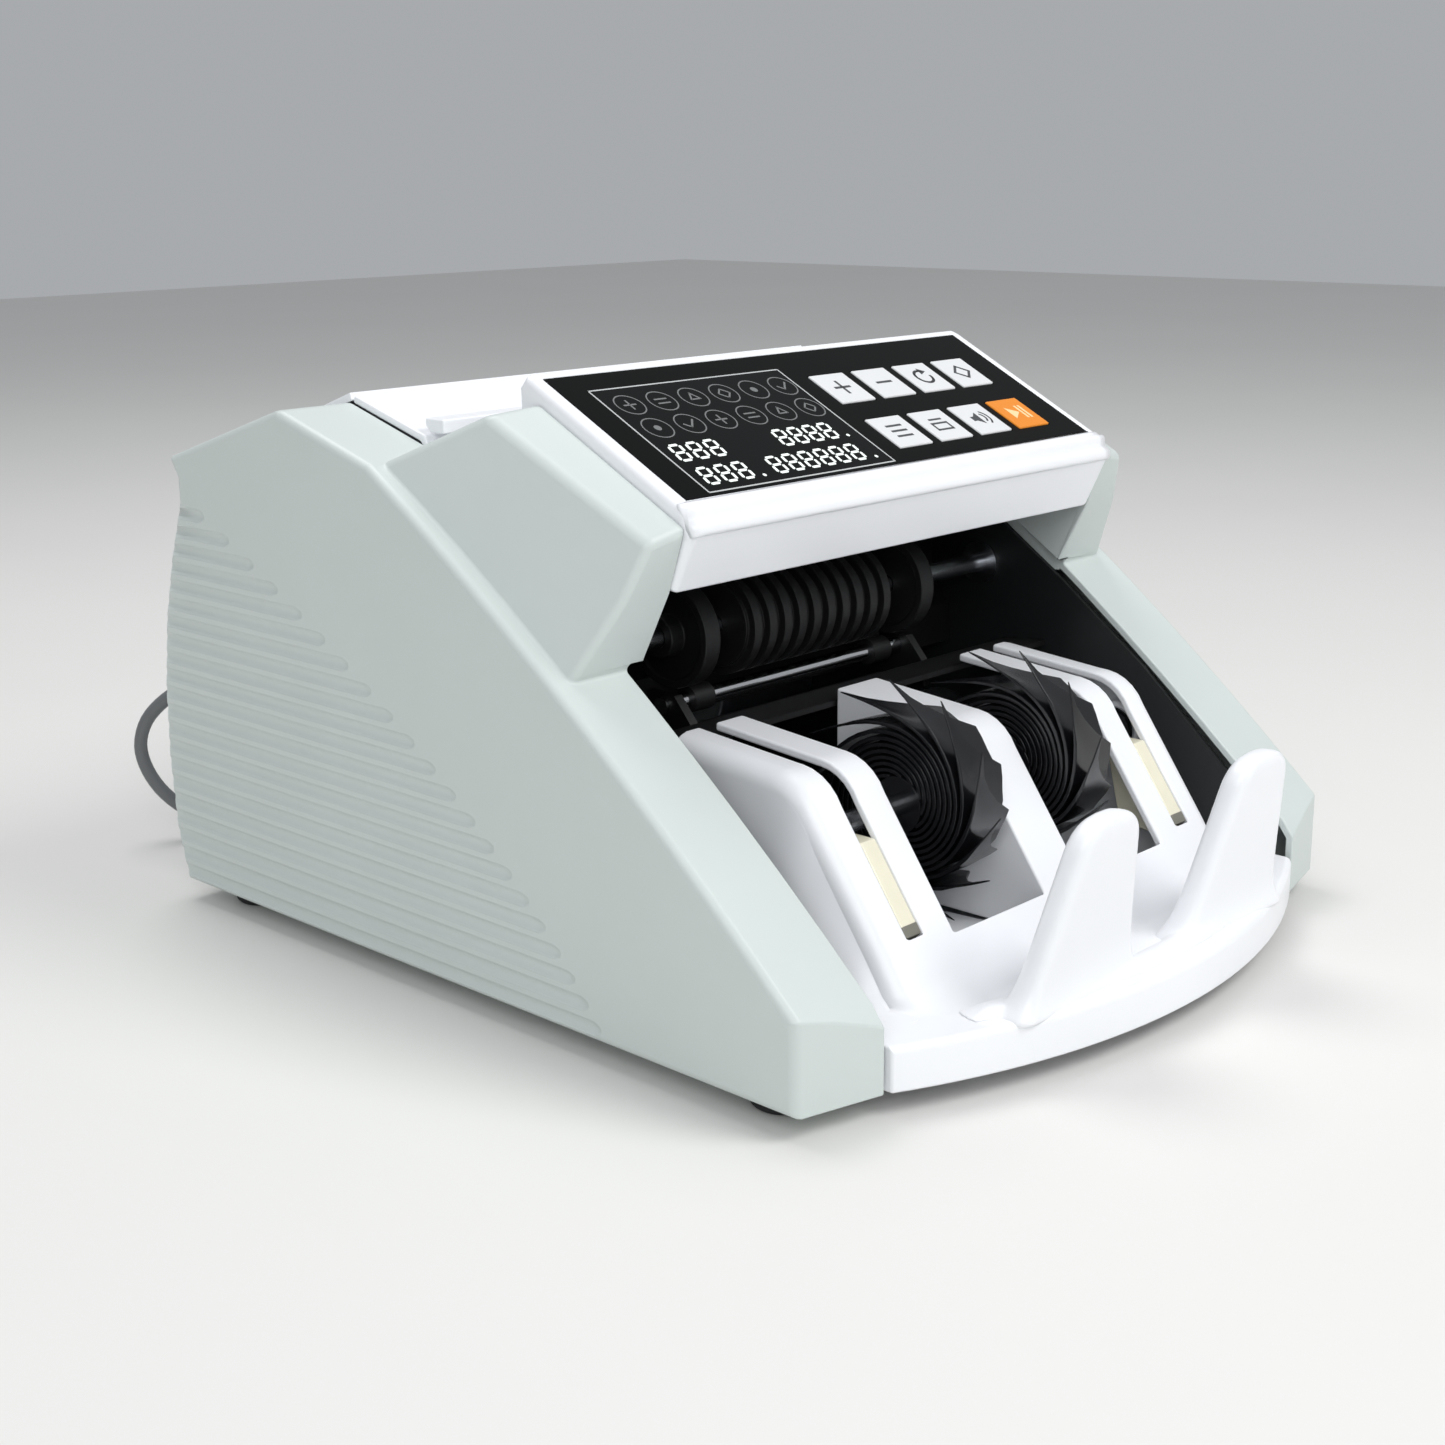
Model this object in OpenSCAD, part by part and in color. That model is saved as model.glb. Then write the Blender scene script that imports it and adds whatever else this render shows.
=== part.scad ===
// Tabletop banknote counter: sheet-steel chassis between two moulded side casings, a sloping
// control head over the feed rollers, and two spiral stacking wheels over a curved delivery tray.
// Millimetres. +X to the machine's right seen from the front, front at -Y, +Z up.
// Origin: under the middle of the machine, on the surface that its feet stand on.

/* [Body] */
// Overall width over the side casings
body_w = 245; // [240:1:252]
// Depth of one side casing, from the outer face to the chassis plate
casing_d = 25.5; // [25:0.5:28]
// Wall thickness of the moulded casings and covers
wall = 2.4; // [2:0.1:2.6]
// Height of the rubber feet
foot_h = 6; // [5:0.5:6]
// Thickness of the steel chassis plates
plate_t = 1.5; // [1:0.1:1.5]

/* [Control head] */
// Slope of the control panel above level
panel_tilt = 27; // [26:0.5:28]
// Width of the printed panel overlay
panel_w = 176; // [170:1:178]
// Height of the panel overlay along its slope
panel_h = 59; // [58:0.5:60]
// Side of one square key
key_size = 15; // [13:0.5:16]
// Distance between key centres along a row
key_pitch = 19; // [18:0.5:20]
// Travel of a key
key_travel = 0.5; // [0.3:0.1:0.6]

/* [Rollers and wheels] */
// Radius of the steel shafts
shaft_r = 3; // [3:0.1:3]
// Running clearance between a shaft and its bearing, on the radius
shaft_play = 0.05; // [0.02:0.01:0.1]
// Radius of the feed roller discs
feed_r = 15.5; // [14:0.5:15.5]
// Outer radius of the stacking wheels
wheel_r = 35; // [32:0.5:35]
// Width of one stacking wheel
wheel_w = 18; // [16:1:24]
// Number of spiral fingers on a wheel
finger_count = 12; // [8:1:12]

/* [Delivery tray] */
// Radius of the curved front edge, seen from above
lip_r = 208; // [208:1:208]
// Height of the tray floor above the bottom of the casings
tray_h = 12; // [12:0.5:12.5]
// Half width of the hump that covers the stacking wheels
hump_half = 78; // [76:1:80]

/* [Mains lead] */
// Diameter of the lead
lead_d = 4.5; // [4.5:0.5:4.5]
// Turns in the stored coil, side by side and on top of each other
coil_wide = 3; // [3:1:3]
// Layers of turns in the stored coil
coil_high = 3; // [3:1:3]
// Radius of the coil at the middle of its turns
coil_r = 25; // [25:1:27]

/* [Hidden] */

fine = 64;
plastic = [0.76, 0.79, 0.78];
white = [0.95, 0.95, 0.95];
black = [0.08, 0.08, 0.09];
steel = [0.62, 0.63, 0.65];

half_w = body_w / 2;
casing_in = half_w - casing_d;
plate_in = casing_in - plate_t;
inner_half = plate_in - 0.2;
cover_half = casing_in - 0.2;
tray_z = foot_h + tray_h;
lip_y = -146;
lip_c = lip_y + lip_r;

// Shaft positions as [y, z].
feed_at = [-4, 94];
pickup_at = [30, 126];
wheel_at = [-74, 54.5];
pinch_at = [-4.5, 74];
motor_at = [90, 46];
wheel_motor_at = [10, 34];
bearing_r = 6;
bearing_w = 5;
// Inner end of the bearings that hold the wheel shaft inside the hump.
wheel_bearing_x = 71.4;

head_half = 92;
cheek_in = head_half + 0.3;
wheel_x = 25;

// Rods that hold the chassis plates apart, as [y, z].
tie_rods_at = [[60, 130], [112, 14], [-40, 30], [50, 90]];

// Screw bosses of a side casing as [y, z].
casing_bosses = [[100, 20], [-60, 22], [100, 120]];

// Lower edge of the control panel as [y, z].
panel_foot = [-49.4, 141.2];
key_rows = [38.5, 14.5];
key_x0 = 11.5;
key_gap = 0.25;
overlay_t = 0.8;
key_t = 1.4;

// Unit normal on the left of the line from a to b.
function left_of(a, b) = let (d = b - a) [-d[1], d[0]] / norm(d);

// Point i of path p moved t to its left, with mitred corners.
function mitred(p, i, t, closed) =
  let (
    n = len(p),
    before = closed ? p[(i + n - 1) % n] : p[max(i - 1, 0)],
    after = closed ? p[(i + 1) % n] : p[min(i + 1, n - 1)],
    a = before == p[i] ? left_of(p[i], after) : left_of(before, p[i]),
    b = after == p[i] ? a : left_of(p[i], after)
  )
  p[i] + t * (a + b) / (1 + a * b);

// Closed outline moved inwards, for an anticlockwise outline.
function inset(p, t) = [for (i = [0:len(p) - 1]) mitred(p, i, t, true)];

// Outline of a bent sheet of thickness t along path p.
function ribbon(p, t) =
  concat(p, [for (i = [len(p) - 1:-1:0]) mitred(p, i, t, false)]);

// Points of an arc about c.
function arc(c, r, a0, a1, n) =
  [for (i = [0:n]) let (a = a0 + (a1 - a0) * i / n) c + r * [cos(a), sin(a)]];

// Points between a and b on a shallow bow of height s to the left of the chord.
function bow(a, b, s, n) =
  [for (i = [1:n - 1]) let (t = i / n) a + (b - a) * t + left_of(a, b) * 4 * s * t * (1 - t)];

// Anticlockwise outline of a side casing as [y, z], front first.
casing_outline = concat(
  [[-127, foot_h], [140, foot_h]],
  [[144.5, 22], [146, 45], [145, 68], [141.5, 90], [136, 109], [129, 127]],
  [[129, 134], [133, 140], [76, 158], [36, 146.4]],
  bow([36, 146.4], [-118, 28.8], -4.5, 10),
  [[-118, 28.8], [-124, 21]]
);

// Extrudes a [y, z] outline along X from x0 to x1.
module across(x0, x1) {
  translate([x0, 0, 0]) rotate([90, 0, 90]) linear_extrude(x1 - x0) children();
}

// Cylinder along X from x0 to x1 about the shaft position at.
module spindle(at, r, x0, x1, sides = fine) {
  translate([x0, at[0], at[1]]) rotate([0, 90, 0]) cylinder(r = r, h = x1 - x0, $fn = sides);
}

// Cylinder along X with a bore.
module tube_x(at, r, bore, x0, x1) {
  difference() {
    spindle(at, r, x0, x1);
    spindle(at, bore, x0 - 1, x1 + 1);
  }
}

// Places children in the control panel's own axes: X across, Y up the slope, Z out of the face.
module on_panel() {
  translate([0, panel_foot[0], panel_foot[1]]) rotate([panel_tilt, 0, 0]) children();
}

// Everything in front of the curved front edge of the machine.
module front_waste() {
  difference() {
    translate([-200, -400, -50]) cube([400, 400 + lip_c - lip_r * 0.75, 250]);
    translate([0, lip_c, -60]) cylinder(r = lip_r, h = 270, $fn = 180);
  }
}

// Everything ahead of the angled front end of a casing, moved back by the given depth.
module casing_front_cut(back) {
  translate([casing_in, -122 + back, -10]) rotate(14) translate([-50, -100, 0]) cube([200, 100, 180]);
}

// Shoulder that rises from the slope beside the control head: its outer face leans inwards and
// its top runs a little below the panel.
module cheek() {
  difference() {
    across(cheek_in, half_w - 3)
      polygon([[36, 142], [36, 146.4], [0, 162.5], [-53, 135.5], [-47, 118], [-37, 99], [-33, 94]]);
    translate([half_w - 4.5, 34, 143]) rotate([0, -15.4, -11.2]) translate([0, -150, -150])
      cube([100, 300, 300]);
    translate([cheek_in, 0, 162.1]) rotate([panel_tilt, 0, 0]) rotate([0, 12, 0])
      translate([-150, -150, 0]) cube([300, 300, 60]);
    across(cheek_in - 1, casing_in) polygon([[50, 155], [36, 146.6], [-37, 98.8], [-60, 60], [50, 60]]);
  }
}

// Left or right casing, modelled at +X.
module side_casing() {
  difference() {
    union() {
      difference() {
        across(casing_in, half_w) polygon(casing_outline);
        difference() {
          across(casing_in - 1, half_w - wall) polygon(inset(casing_outline, wall));
          casing_front_cut(wall);
        }
      }
      cheek();
      for (p = casing_bosses) spindle(p, 4, casing_in, half_w - wall + 0.5);
    }
    across(casing_in + 2, 105) polygon([[20, 130], [0, 152], [-44, 130], [-34, 104], [0, 118]]);
    casing_front_cut(0);
    for (p = casing_bosses) spindle(p, 1.5, casing_in - 10, casing_in + 12);
  }
}

module left_side_casing() {
  color(plastic) mirror([1, 0, 0]) side_casing();
}

module right_side_casing() {
  color(plastic) side_casing();
}

module base_pan() {
  color(steel) difference() {
    translate([-inner_half, -99.5, foot_h]) cube([2 * inner_half, 233.5, 2]);
    for (x = [-70, 70], y = [-92, 118])
      translate([x, y, foot_h - 1]) cylinder(r = 2.2, h = 4, $fn = 32);
    for (x = [-60:12:60]) translate([x, 0, foot_h - 1]) cube([5, 30, 4]);
  }
}

// Chassis plates carry the bearings and the motors.
plate_outline = [
  [-112, 8], [134, 8], [138, 45], [134, 88], [124, 124], [124, 138], [76, 154],
  [38, 142.5], [-36, 92.5], [-68, 68.5], [-112, 29]
];

module chassis_plate() {
  difference() {
    across(plate_in, casing_in) polygon(plate_outline);
    for (s = [feed_at, pickup_at]) spindle(s, bearing_r + 0.02, plate_in - 1, casing_in + 1);
    spindle(motor_at, 7, plate_in - 1, casing_in + 1);
  }
}

module left_chassis_plate() {
  color(black) mirror([1, 0, 0]) chassis_plate();
}

module right_chassis_plate() {
  color(black) chassis_plate();
}

rear_path = [[76, 160.5], [130, 141.5], [127, 125], [138, 88], [141, 45], [138, foot_h + 2.2]];
switch_at = [-52, 46];
relief_at = [-88, 62];

module rear_cover() {
  color(white) difference() {
    across(-cover_half, cover_half) polygon(ribbon(rear_path, -wall));
    for (x = [-30:9:60]) translate([x, 130, 24]) cube([4, 20, 34]);
    translate([switch_at[0] - 7, 128, switch_at[1] - 10]) cube([14, 20, 20]);
    translate([relief_at[0], 125, relief_at[1]]) rotate([-90, 0, 0])
      cylinder(r = 3.6, h = 30, $fn = fine);
  }
}

hopper_path = [[20, 131], [40, 142.5], [43, 151], [74.2, 159.9]];

module hopper_plate() {
  color(white) difference() {
    across(-cover_half, cover_half) polygon(ribbon(hopper_path, -wall));
    for (m = [0, 1]) mirror([m, 0, 0]) translate([inner_half, 0, 100]) cube([10, 60, 46]);
    for (s = [-1, 1]) translate([s * 28 - 11, 15, 120]) cube([22, 32, 24]);
    translate([-11, 10, 120]) cube([22, 16, 20]);
  }
}

module feed_gate_bar() {
  color(white) across(-inner_half, inner_half)
    polygon([[36.5, 151.6], [42.4, 151.6], [44.4, 153.6], [44.4, 155.6], [36.5, 155.6]]);
}

head_outline = [
  [9, 125], [9, 166], [6, 169.4], [3.4, 168.4], panel_foot, [-52.6, 138.6], [-53.4, 135.4],
  [-54.8, 133.2], [-47.5, 117.9], [-44, 118.4]
];

module head_cover() {
  color(white) difference() {
    across(-head_half, head_half) polygon(head_outline);
    across(-head_half + wall, head_half - wall)
      polygon([[6.6, 110], [6.6, 163], [3, 165], [-48, 139], [-50.6, 133], [-44.6, 119.5], [-40, 110]]);
    on_panel() translate([-panel_w / 2, 0.4, -overlay_t])
      cube([panel_w, panel_h, 5]);
    on_panel() translate([-panel_w / 2 + 6, 4, -8]) cube([panel_w - 12, panel_h - 8, 10]);
  }
}

module head_underside() {
  color(black) across(-head_half + wall + 0.1, head_half - wall - 0.1)
    polygon(ribbon([[6.4, 125.2], [-12, 121.4], [-43.4, 119.6]], -1.6));
}

module key_places() {
  for (r = [0, 1], k = [0:3])
    translate([key_x0 + key_pitch * k, key_rows[r], 0]) children();
}

module control_overlay() {
  color(black) on_panel() difference() {
    translate([-panel_w / 2 + 0.1, 0.5, -overlay_t])
      cube([panel_w - 0.2, panel_h - 0.2, overlay_t]);
    key_places() translate([-key_size / 2 - key_gap, -key_size / 2 - key_gap, -2])
      cube([key_size + 2 * key_gap, key_size + 2 * key_gap, 4]);
  }
}

module key(r, k, tint) {
  color(tint) on_panel()
    translate([key_x0 + key_pitch * k - key_size / 2, key_rows[r] - key_size / 2, -0.6])
      cube([key_size, key_size, key_t - 0.4]);
}

module key_add() { key(0, 0, white); }
module key_verify() { key(0, 1, white); }
module key_mode() { key(0, 2, white); }
module key_value() { key(0, 3, white); }
module key_sum() { key(1, 0, white); }
module key_batch() { key(1, 1, white); }
module key_sound() { key(1, 2, white); }
module key_start() { key(1, 3, "orange"); }

module display_module() {
  color(black) on_panel() translate([-78, 5, -6.2]) cube([75, 47, 5]);
}

module control_board() {
  color("green") on_panel() {
    translate([-80, 5, -8.6]) cube([162, 48, 1.6]);
    key_places() translate([-3, -3, -7.2]) cube([6, 6, 5]);
  }
}

// Top line of the hump over the wheels, from its rear edge down to the tray floor.
hump_line = concat(
  [[-31, 75.2], [-68, 72.2]],
  [for (a = [94:12:154]) [-68, 56.2] + 16 * [cos(a), sin(a)]],
  [[-104.5, 32], [-110, 23.4], [-117, tray_z]]
);

// Half width of the block between the two stacking wheels, and how far out their slots run.
block_half = 9;
slot_out = 49;

module wheel_slots() {
  for (m = [0, 1]) mirror([m, 0, 0]) {
    translate([block_half, -105.5, -10]) cube([slot_out - block_half, 103.5, 120]);
    translate([63 - 3.2, -104, 20]) cube([6.4, 102, 100]);
  }
}

module stacker_cover() {
  color(white) difference() {
    union() {
      difference() {
        across(-hump_half, hump_half) polygon(concat(hump_line, [[-117, foot_h + 3], [-31, foot_h + 3]]));
        across(-hump_half + wall, hump_half - wall)
          polygon(concat(inset(concat(hump_line, [[-117, -20], [-20, -20], [-20, 75.2]]), wall)));
      }
      difference() {
        translate([-inner_half, -160, foot_h]) cube([2 * inner_half, 60, tray_h]);
        intersection() {
          translate([-inner_half + wall, -160, foot_h - 1])
            cube([2 * (inner_half - wall), 66, tray_h - wall + 1]);
          translate([0, lip_c, 0]) cylinder(r = lip_r - wall, h = tray_z, $fn = 180);
        }
      }
      for (m = [0, 1]) mirror([m, 0, 0]) {
        across(block_half - wall, block_half) polygon(concat(hump_line, [[-104, tray_z], [-31, tray_z]]));
        tube_x(wheel_at, bearing_r + 2.5, bearing_r + 0.02, wheel_bearing_x, hump_half - wall + 0.1);
      }
    }
    wheel_slots();
    spindle(wheel_at, 8, -block_half - 1, block_half + 1);
    spindle(tie_rods_at[2], 5, -hump_half - 1, hump_half + 1);
    translate([-hump_half + wall, -112, 0]) cube([2 * (hump_half - wall), 20, tray_z - wall]);
    front_waste();
  }
}

post_lean = 11;

module post_blade() {
  translate([0, -133, tray_z]) rotate([post_lean, 0, 0]) rotate([90, 0, 0])
    linear_extrude(7, center = true) {
      polygon([[13, 0], [60, 0], [50.5, 43], [23.5, 43]]);
      for (x = [30.5, 43.5]) translate([x, 43]) circle(r = 7, $fn = fine);
      translate([30.5, 42]) square([13, 8]);
    }
}

module stacker_posts() {
  color(white) difference() {
    union() {
      intersection() {
        translate([0, lip_c, tray_z]) difference() {
          cylinder(r1 = lip_r - 4, r2 = lip_r - 7, h = 4, $fn = 180);
          translate([0, 0, -1]) cylinder(r1 = lip_r - 14, r2 = lip_r - 10, h = 6, $fn = 180);
        }
        translate([-72, -150, tray_z]) cube([144, 60, 8]);
      }
      for (s = [0, 1]) mirror([s, 0, 0]) post_blade();
    }
    translate([-100, -160, 0]) cube([200, 60, tray_z]);
  }
}

module light_guides() {
  color([0.9, 0.88, 0.75]) for (s = [-1, 1])
    across(s * 63 - 2.9, s * 63 + 2.9)
      polygon([[-88, 54.5], [-103.4, 32.8], [-99, 28], [-84, 30], [-78, 54.5]]);
}

module front_guide_plate() {
  color(black) {
    across(-inner_half, inner_half) polygon(ribbon([[-11, 66], [-16, 70.5], [-30.6, 71.5]], 1.6));
    for (s = [-1, 1]) difference() {
      across(s * 52 - 1.5, s * 52 + 1.5) polygon([[-16, 62], [2, 62], [2, 77.5], [-9, 77.5], [-16, 69.5]]);
      spindle(pinch_at, 2.55, s * 52 - 3, s * 52 + 3);
    }
    across(-56, 56) polygon([[-11.2, 62], [2, 62], [2, 64], [-11.2, 64.4]]);
  }
}

module rear_guide_plate() {
  color(black) across(-inner_half, inner_half)
    polygon(ribbon(concat([[8, 66]], arc(feed_at, 20, -50, 60, 12), [[7, 118], [11, 124]]), -1.6));
}

module tie_rods() {
  color(steel) for (p = tie_rods_at) spindle(p, 3, -plate_in, plate_in);
}

module retard_block() {
  color(black) difference() {
    translate([-20, 9.2, 143]) cube([40, 14, 8]);
    translate([0, 16.5, 140]) cylinder(r = 2.05, h = 20, $fn = fine);
  }
}

module gap_knob() {
  color(black) difference() {
    union() {
      translate([0, 16.5, 151.3]) cylinder(r = 6.5, h = 6.5, $fn = fine);
      translate([0, 16.5, 138]) cylinder(r = 2, h = 14, $fn = fine);
    }
    for (a = [0:30:330]) translate([0, 16.5, 150]) rotate(a) translate([7, 0, 0])
      cylinder(r = 1, h = 9, $fn = 16);
  }
}

module pickup_shaft() {
  color(steel) spindle(pickup_at, shaft_r, -101, 118);
}

module pickup_rollers() {
  color(black) for (s = [-1, 1]) tube_x(pickup_at, 12, shaft_r, s * 28 - 9, s * 28 + 9);
}

module feed_shaft() {
  color(steel) spindle(feed_at, shaft_r, -101, 118);
}

module feed_roller() {
  color(black) {
    tube_x(feed_at, 12.5, shaft_r, -31.5, 31.5);
    for (k = [0:9]) tube_x(feed_at, 15, 12, -30.4 + 6.4 * k, -27.2 + 6.4 * k);
  }
}

module feed_discs() {
  color(black) for (s = [-1, 1]) {
    tube_x(feed_at, feed_r, 13, s * 48 - 3, s * 48 + 3);
    tube_x(feed_at, 13.5, shaft_r, s * 48 - 2, s * 48 + 2);
    tube_x(feed_at, 6, shaft_r, s * 52 - 3, s * 52 + 3);
  }
}

module pinch_rod() {
  color("silver") spindle(pinch_at, 2.5, -54.5, 54.5);
}

module pinch_rollers() {
  color(black) for (s = [-1, 1]) tube_x(pinch_at, 4, 2.5, s * 40 - 4, s * 40 + 4);
}

module wheel_shaft() {
  color(steel) spindle(wheel_at, shaft_r, -hump_half + wall + 0.4, hump_half - wall - 0.4);
}

// Middle line of one spiral finger: the radius grows with the turn and stands off at the tip.
hub_r = 8;
finger_wrap = 210;
function finger_radius(t) = hub_r - 0.6 + (wheel_r - 9 - hub_r) * t + 9 * pow(t, 6);
finger_line = [for (i = [0:16]) let (t = i / 16, a = -finger_wrap * t)
  finger_radius(t) * [cos(a), sin(a)]];

module stacking_wheel(x, phase) {
  translate([x - wheel_w / 2, wheel_at[0], wheel_at[1]]) rotate([90, 0, 90]) {
    difference() {
      union() {
        cylinder(r = hub_r, h = wheel_w, $fn = fine);
        for (k = [0:finger_count - 1]) rotate(phase + 360 * k / finger_count)
          linear_extrude(wheel_w) polygon(ribbon(finger_line, 1));
      }
      translate([0, 0, -1]) cylinder(r = shaft_r, h = wheel_w + 2, $fn = fine);
    }
  }
}

module left_stacking_wheel() {
  color(black) stacking_wheel(-wheel_x, 9);
}

module right_stacking_wheel() {
  color(black) stacking_wheel(wheel_x, 20);
}

// Flanged bearing with its flange at x0 and its body w long.
module bearing(at, x0, w) {
  difference() {
    union() {
      spindle(at, bearing_r, x0, x0 + w);
      spindle(at, bearing_r + 1, x0 - 1, x0);
    }
    spindle(at, shaft_r + shaft_play, x0 - 2, x0 + w + 1);
  }
}

// One bearing for each end of each shaft: two shafts run in the chassis plates, the wheel shaft
// in bosses inside the hump.
module shaft_bearings() {
  color("silver") for (m = [0, 1]) mirror([m, 0, 0]) {
    for (s = [feed_at, pickup_at]) bearing(s, plate_in, bearing_w - 2);
    bearing(wheel_at, wheel_bearing_x, hump_half - wall - 0.1 - wheel_bearing_x);
  }
}

module main_motor() {
  length = 48;
  color(steel) difference() {
    union() {
      spindle(motor_at, 21, plate_in - length, plate_in);
      spindle(motor_at, 6.5, plate_in - 1, casing_in + 0.6);
      spindle(motor_at, 9.5, plate_in - length - 4, plate_in - length);
    }
    spindle(motor_at, 2.05, plate_in - 12, plate_in + 10);
  }
}

// Flat motor on the inside of the right chassis plate, its shaft pointing inwards.
wheel_motor_x = 73;

module wheel_motor() {
  color(steel) difference() {
    union() {
      spindle(wheel_motor_at, 15, wheel_motor_x, plate_in);
      spindle(wheel_motor_at, 4.5, wheel_motor_x - 1.6, wheel_motor_x + 1);
    }
    spindle(wheel_motor_at, 1.55, wheel_motor_x - 3, wheel_motor_x + 12);
  }
}

// Flanged pulley with its own stub for a motor.
module pulley(at, r, bore, x0, x1) {
  tube_x(at, r, bore, x0, x1);
  for (x = [x0 - 1, x1]) tube_x(at, r + 1.6, bore, x, x + 1);
}

belt_x = [101.5, 107.5];
pickup_belt_x = [110.5, 115.5];
wheel_belt_x = [66.4, 70];

module motor_pulley() {
  color(black) {
    pulley(motor_at, 8, 2, belt_x[0], belt_x[1]);
    spindle(motor_at, 2, plate_in - 10, belt_x[1] + 2);
  }
}

module wheel_motor_pulley() {
  color(black) {
    pulley(wheel_motor_at, 5, 1.5, wheel_belt_x[0], wheel_belt_x[1]);
    spindle(wheel_motor_at, 1.5, wheel_belt_x[0] - 1.6, wheel_motor_x + 10);
  }
}

module feed_pulley() {
  color(black) {
    pulley(feed_at, 12, shaft_r, belt_x[0], belt_x[1]);
    pulley(feed_at, 8, shaft_r, pickup_belt_x[0], pickup_belt_x[1]);
  }
}

module pickup_pulley() {
  color(black) pulley(pickup_at, 8, shaft_r, pickup_belt_x[0], pickup_belt_x[1]);
}

module wheel_pulley() {
  color(black) tube_x(wheel_at, 5, shaft_r, wheel_belt_x[0], wheel_belt_x[1]);
}

// Open loop of belt around two pulleys.
module belt(at0, r0, at1, r1, x, gap) {
  span = norm(at1 - at0);
  turn = atan2(at1[1] - at0[1], at1[0] - at0[0]);
  lean = acos((r0 - r1) / span);
  function loop(g) = concat(
    arc([0, 0], r0 + g, lean, 360 - lean, 24),
    arc([span, 0], r1 + g, -lean, lean, 24)
  );
  translate([x[0] + 0.5, at0[0], at0[1]]) rotate([90, 0, 90]) rotate(turn)
    linear_extrude(x[1] - x[0] - 1) difference() {
      polygon(loop(gap + 1));
      polygon(loop(gap));
    }
}

module main_belt() {
  color(black) belt(feed_at, 12, motor_at, 8, belt_x, 0.2);
}

module pickup_belt() {
  color(black) belt(feed_at, 8, pickup_at, 8, pickup_belt_x, 0.2);
}

module wheel_belt() {
  color(black) belt(wheel_at, 5, wheel_motor_at, 5, wheel_belt_x, 0.2);
}

module main_board() {
  color("green") {
    translate([-40, 120, 18]) cube([120, 1.6, 88]);
    for (x = [-28, 0, 30], z = [34, 70]) translate([x, 111, z]) cube([14, 9.2, 20]);
  }
}

module transformer() {
  color(steel) {
    translate([-84, 60, foot_h + 2]) cube([46, 40, 38]);
    translate([-74, 54, foot_h + 12]) cube([26, 52, 18]);
  }
}

module switch_housing() {
  color(black) difference() {
    union() {
      translate([switch_at[0] - 6.9, 124, switch_at[1] - 9.9]) cube([13.8, 18, 19.8]);
      translate([switch_at[0] - 9, 141.1, switch_at[1] - 12]) cube([18, 1.6, 24]);
    }
    translate([switch_at[0] - 5, 132, switch_at[1] - 8]) cube([10, 14, 16]);
  }
}

// Rocker at rest with its lower half pressed in; it tips about its own middle.
rocker_tilt = 8;
rocker_pivot = [138, 46];

module power_rocker() {
  color(black) translate([switch_at[0] - 4.8, rocker_pivot[0], rocker_pivot[1]])
    rotate([rocker_tilt, 0, 0]) rotate([90, 0, 90]) linear_extrude(9.6)
      polygon([[0, -6], [5, -6.6], [3.6, 0], [5, 6.6], [0, 6]]);
}

module rubber_feet() {
  color(black) for (x = [-106, 106], y = [-98, 122]) translate([x, y, 0]) {
    rotate_extrude($fn = 48) polygon([[0, 0], [8, 0], [9, 1.2], [7.6, foot_h], [0, foot_h]]);
  }
}

module casing_screws() {
  color(steel) for (s = [-1, 1], p = casing_bosses)
    mirror([s < 0 ? 1 : 0, 0, 0]) {
      spindle(p, 3, plate_in - 2, plate_in);
    }
}

// Route of the lead from its strain relief down to the coil, chosen by hand.
lead_route = [
  [-88, 168, 60], [-88, 174.5, 59], [-90, 182.5, 56], [-94.5, 190.8, 50.5], [-98.5, 197, 43],
  [-100, 199.8, 34], [-98.5, 199, 25], [-94.5, 195.8, 16.5], [-87.5, 191.5, 9.3],
  [-78, 186.7, 4.6], [-67.5, 183, 2.7], [-56, 181, 2.3], [-46, 180, 2.3], [-36, 180, 2.3],
  [-26, 181, 2.3], [-14, 182.6, 2.3], [-2.3, 183, 2.3]
];
coil_at = [20, 208];

// Point between route points on a smooth cubic.
function route_point(p, i, t) =
  let (
    n = len(p) - 1,
    a = p[max(i - 1, 0)],
    b = p[i],
    c = p[min(i + 1, n)],
    d = p[min(i + 2, n)]
  )
  b + 0.5 * t * ((c - a) + t * ((2 * a - 5 * b + 4 * c - d) + t * (3 * b - a - 3 * c + d)));

lead_sides = 8;
lead_steps = 2;
lead_line = [for (i = [0:len(lead_route) - 2], k = [0:lead_steps - 1])
  route_point(lead_route, i, k / lead_steps), lead_route[len(lead_route) - 1]];

function ring(p, i) =
  let (
    n = len(p) - 1,
    d = p[min(i + 1, n)] - p[max(i - 1, 0)],
    w = d / norm(d),
    u0 = cross(w, [0.1, 0.3, 1]),
    u = u0 / norm(u0),
    v = cross(u, w)
  )
  [for (k = [0:lead_sides - 1]) let (a = 360 * k / lead_sides)
    p[i] + lead_d / 2 * (cos(a) * u + sin(a) * v)];

module mains_lead() {
  n = len(lead_line);
  color([0.4, 0.4, 0.42]) polyhedron(
    points = [for (i = [0:n - 1]) each ring(lead_line, i)],
    faces = concat(
      [[for (k = [0:lead_sides - 1]) k]],
      [for (i = [0:n - 2], k = [0:lead_sides - 1]) let (j = (k + 1) % lead_sides)
        [i * lead_sides + k, (i + 1) * lead_sides + k, (i + 1) * lead_sides + j, i * lead_sides + j]],
      [[for (k = [lead_sides - 1:-1:0]) (n - 1) * lead_sides + k]]
    )
  );
}

module lead_coil() {
  color([0.4, 0.4, 0.42]) translate([coil_at[0], coil_at[1], 0]) rotate_extrude($fn = 72)
    translate([coil_r - coil_wide * lead_d / 2, 0])
      square([coil_wide * lead_d, coil_high * lead_d]);
}

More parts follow.
